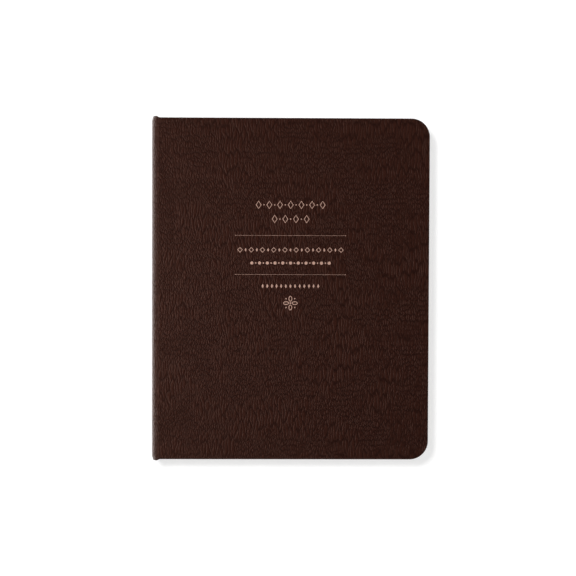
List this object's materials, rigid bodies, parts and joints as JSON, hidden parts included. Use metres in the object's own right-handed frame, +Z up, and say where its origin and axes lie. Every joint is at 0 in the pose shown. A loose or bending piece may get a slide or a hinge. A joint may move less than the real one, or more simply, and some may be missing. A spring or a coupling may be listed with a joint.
{
  "type": "address book",
  "caption": "Closed case-bound address book in grained brown leather with rounded corners, opening covers and a step-cut A to Z index of sewn sections.",
  "frame": {"origin": "middle of the underside of the closed book's bounding box, on the surface it lies on", "axes": "+X from the spine towards the fore edge, +Y from the tail towards the head, +Z up through the front cover"},
  "size_m": [0.165, 0.205, 0.0184],
  "materials": {
    "leather": "satin",
    "greyboard": "matte",
    "card": "matte",
    "endpaper": "matte",
    "page_paper": "matte",
    "lining_cloth": "matte",
    "linen": "matte",
    "headband_cloth": "matte"
  },
  "bodies": {
    "spine": {"spine_leather": "leather", "spine_inlay": "card", "spine_lining": "lining_cloth", "sewing_tapes": "linen", "sewing_thread": "linen", "head_band": "headband_cloth", "tail_band": "headband_cloth"},
    "front_cover": {"front_leather": "leather", "front_board": "greyboard", "front_infill": "card", "front_pastedown": "endpaper"},
    "back_cover": {"back_leather": "leather", "back_board": "greyboard", "back_infill": "card", "back_pastedown": "endpaper"},
    "front_flyleaf": {"front_flyleaf": "endpaper"},
    "back_flyleaf": {"back_flyleaf": "endpaper"},
    "section_ab": {"section_ab": "page_paper"},
    "section_cd": {"section_cd": "page_paper"},
    "section_ef": {"section_ef": "page_paper"},
    "section_gh": {"section_gh": "page_paper"},
    "section_ij": {"section_ij": "page_paper"},
    "section_kl": {"section_kl": "page_paper"},
    "section_mn": {"section_mn": "page_paper"},
    "section_op": {"section_op": "page_paper"},
    "section_qr": {"section_qr": "page_paper"},
    "section_st": {"section_st": "page_paper"},
    "section_uv": {"section_uv": "page_paper"},
    "section_wx": {"section_wx": "page_paper"},
    "section_yz": {"section_yz": "page_paper"}
  },
  "joints": [
    {"name": "front_cover_hinge", "type": "hinge", "parent": "spine", "child": "front_cover", "pos_m": [-0.08027, 0, 0.01774], "axis": [0, -1, 0], "range_deg": [0, 185]},
    {"name": "back_cover_hinge", "type": "hinge", "parent": "spine", "child": "back_cover", "pos_m": [-0.08027, 0, 0.00066], "axis": [0, 1, 0], "range_deg": [0, 180]},
    {"name": "front_flyleaf_turn", "type": "hinge", "parent": "spine", "child": "front_flyleaf", "pos_m": [-0.07898, 0, 0.01558], "axis": [0, -1, 0], "range_deg": [0, 99.99]},
    {"name": "section_ab_turn", "type": "hinge", "parent": "spine", "child": "section_ab", "pos_m": [-0.07898, 0, 0.01503], "axis": [0, -1, 0], "range_deg": [0, 24]},
    {"name": "section_cd_turn", "type": "hinge", "parent": "spine", "child": "section_cd", "pos_m": [-0.07898, 0, 0.01406], "axis": [0, -1, 0], "range_deg": [0, 22.14]},
    {"name": "section_ef_turn", "type": "hinge", "parent": "spine", "child": "section_ef", "pos_m": [-0.07898, 0, 0.0131], "axis": [0, -1, 0], "range_deg": [0, 20.3]},
    {"name": "section_gh_turn", "type": "hinge", "parent": "spine", "child": "section_gh", "pos_m": [-0.07898, 0, 0.01214], "axis": [0, -1, 0], "range_deg": [0, 18.45]},
    {"name": "section_ij_turn", "type": "hinge", "parent": "spine", "child": "section_ij", "pos_m": [-0.07898, 0, 0.01118], "axis": [0, -1, 0], "range_deg": [0, 16.61]},
    {"name": "section_kl_turn", "type": "hinge", "parent": "spine", "child": "section_kl", "pos_m": [-0.07898, 0, 0.01022], "axis": [0, -1, 0], "range_deg": [0, 14.76]},
    {"name": "section_mn_turn", "type": "hinge", "parent": "spine", "child": "section_mn", "pos_m": [-0.07898, 0, 0.00925], "axis": [0, -1, 0], "range_deg": [0, 12.91]},
    {"name": "section_op_turn", "type": "hinge", "parent": "spine", "child": "section_op", "pos_m": [-0.07898, 0, 0.00829], "axis": [0, -1, 0], "range_deg": [0, 11.06]},
    {"name": "section_qr_turn", "type": "hinge", "parent": "spine", "child": "section_qr", "pos_m": [-0.07898, 0, 0.00733], "axis": [0, -1, 0], "range_deg": [0, 9.21]},
    {"name": "section_st_turn", "type": "hinge", "parent": "spine", "child": "section_st", "pos_m": [-0.07898, 0, 0.00637], "axis": [0, -1, 0], "range_deg": [0, 7.38]},
    {"name": "section_uv_turn", "type": "hinge", "parent": "spine", "child": "section_uv", "pos_m": [-0.07898, 0, 0.00541], "axis": [0, -1, 0], "range_deg": [0, 5.53]},
    {"name": "section_wx_turn", "type": "hinge", "parent": "spine", "child": "section_wx", "pos_m": [-0.07898, 0, 0.00444], "axis": [0, -1, 0], "range_deg": [0, 3.68]},
    {"name": "section_yz_turn", "type": "hinge", "parent": "spine", "child": "section_yz", "pos_m": [-0.07898, 0, 0.00348], "axis": [0, -1, 0], "range_deg": [0, 1.83]},
    {"name": "back_flyleaf_turn", "type": "hinge", "parent": "spine", "child": "back_flyleaf", "pos_m": [-0.07898, 0, 0.00282], "axis": [0, 1, 0], "range_deg": [0, 99.99]}
  ],
  "couplings": [
    {"joint": "front_flyleaf_turn", "follows": "front_cover_hinge", "ratio": 0.5405},
    {"joint": "section_ab_turn", "follows": "front_cover_hinge", "ratio": 0.1297},
    {"joint": "section_cd_turn", "follows": "front_cover_hinge", "ratio": 0.1197},
    {"joint": "section_ef_turn", "follows": "front_cover_hinge", "ratio": 0.1097},
    {"joint": "section_gh_turn", "follows": "front_cover_hinge", "ratio": 0.0997},
    {"joint": "section_ij_turn", "follows": "front_cover_hinge", "ratio": 0.0898},
    {"joint": "section_kl_turn", "follows": "front_cover_hinge", "ratio": 0.0798},
    {"joint": "section_mn_turn", "follows": "front_cover_hinge", "ratio": 0.0698},
    {"joint": "section_op_turn", "follows": "front_cover_hinge", "ratio": 0.0598},
    {"joint": "section_qr_turn", "follows": "front_cover_hinge", "ratio": 0.0498},
    {"joint": "section_st_turn", "follows": "front_cover_hinge", "ratio": 0.0399},
    {"joint": "section_uv_turn", "follows": "front_cover_hinge", "ratio": 0.0299},
    {"joint": "section_wx_turn", "follows": "front_cover_hinge", "ratio": 0.0199},
    {"joint": "section_yz_turn", "follows": "front_cover_hinge", "ratio": 0.0099},
    {"joint": "back_flyleaf_turn", "follows": "back_cover_hinge", "ratio": 0.5555}
  ]
}
